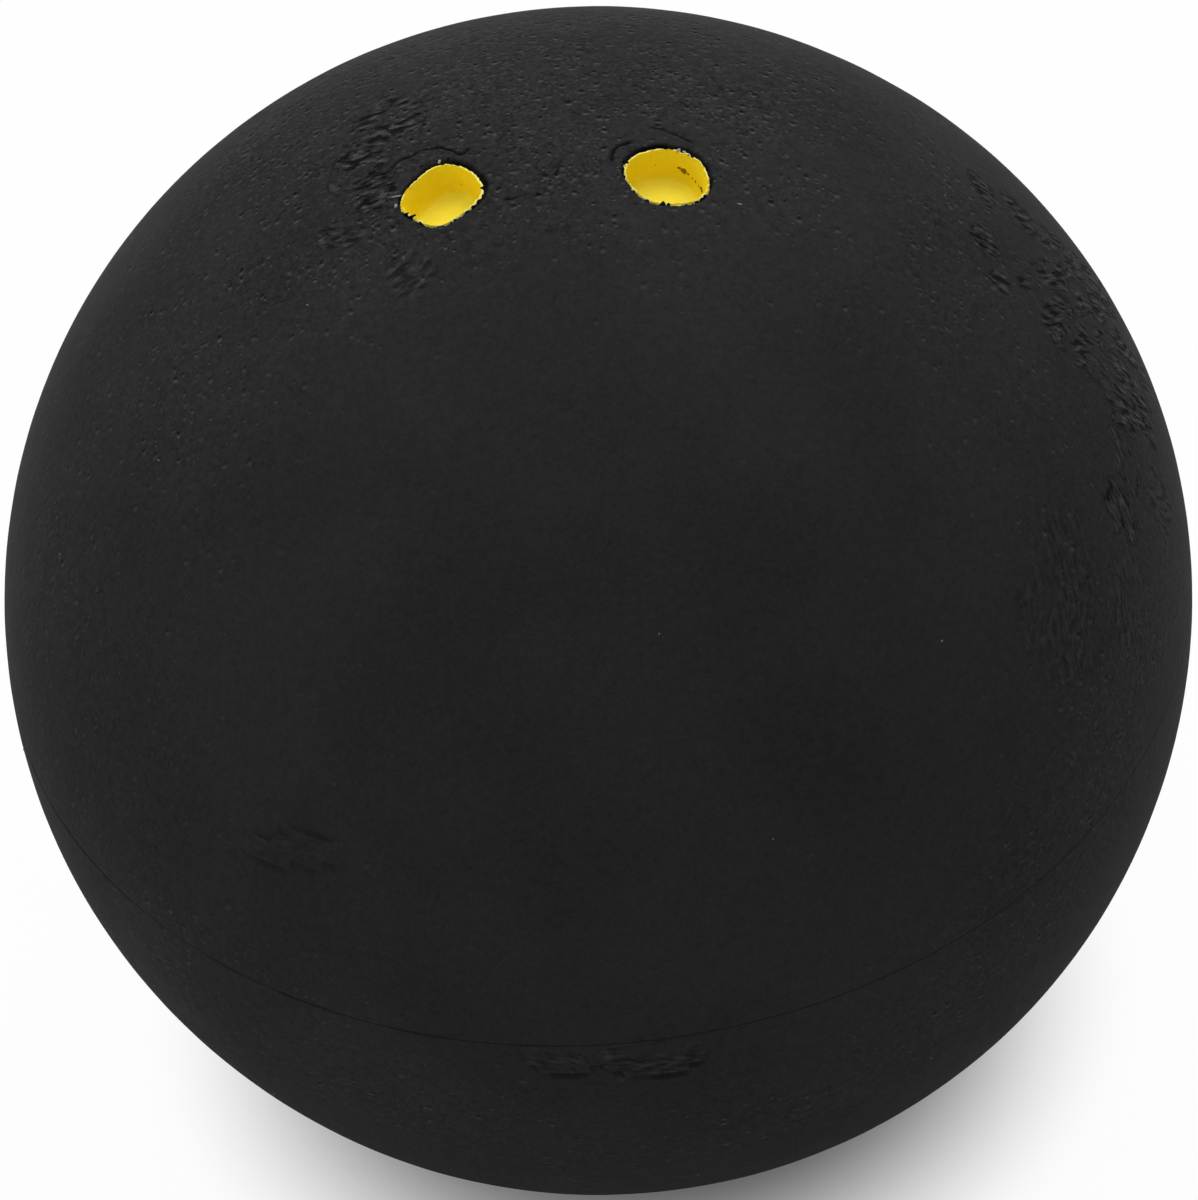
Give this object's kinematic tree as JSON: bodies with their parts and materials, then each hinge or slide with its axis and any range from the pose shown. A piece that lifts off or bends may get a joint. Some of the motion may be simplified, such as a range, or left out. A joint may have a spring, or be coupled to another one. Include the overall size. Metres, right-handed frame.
{
  "type": "squash ball",
  "caption": "Hollow black rubber squash ball moulded as bonded halves, with small yellow painted dots set in round recesses near one pole.",
  "frame": {"origin": "middle of the ball, which is the middle of the seam's plane", "axes": "+Z along the polar axis, square to the seam, to the pole between the dots; +X from the left dot to the right dot"},
  "size_m": [0.04, 0.04, 0.04],
  "materials": {
    "black_rubber": "matt, fine moulded grain",
    "rubber_glue": "satin",
    "yellow_paint": "matt, grainy, chipped at the rim"
  },
  "bodies": {
    "root": {"upper_half_shell": "black_rubber", "lower_half_shell": "black_rubber", "bond_film": "rubber_glue", "left_dot": "yellow_paint", "right_dot": "yellow_paint"}
  },
  "joints": []
}
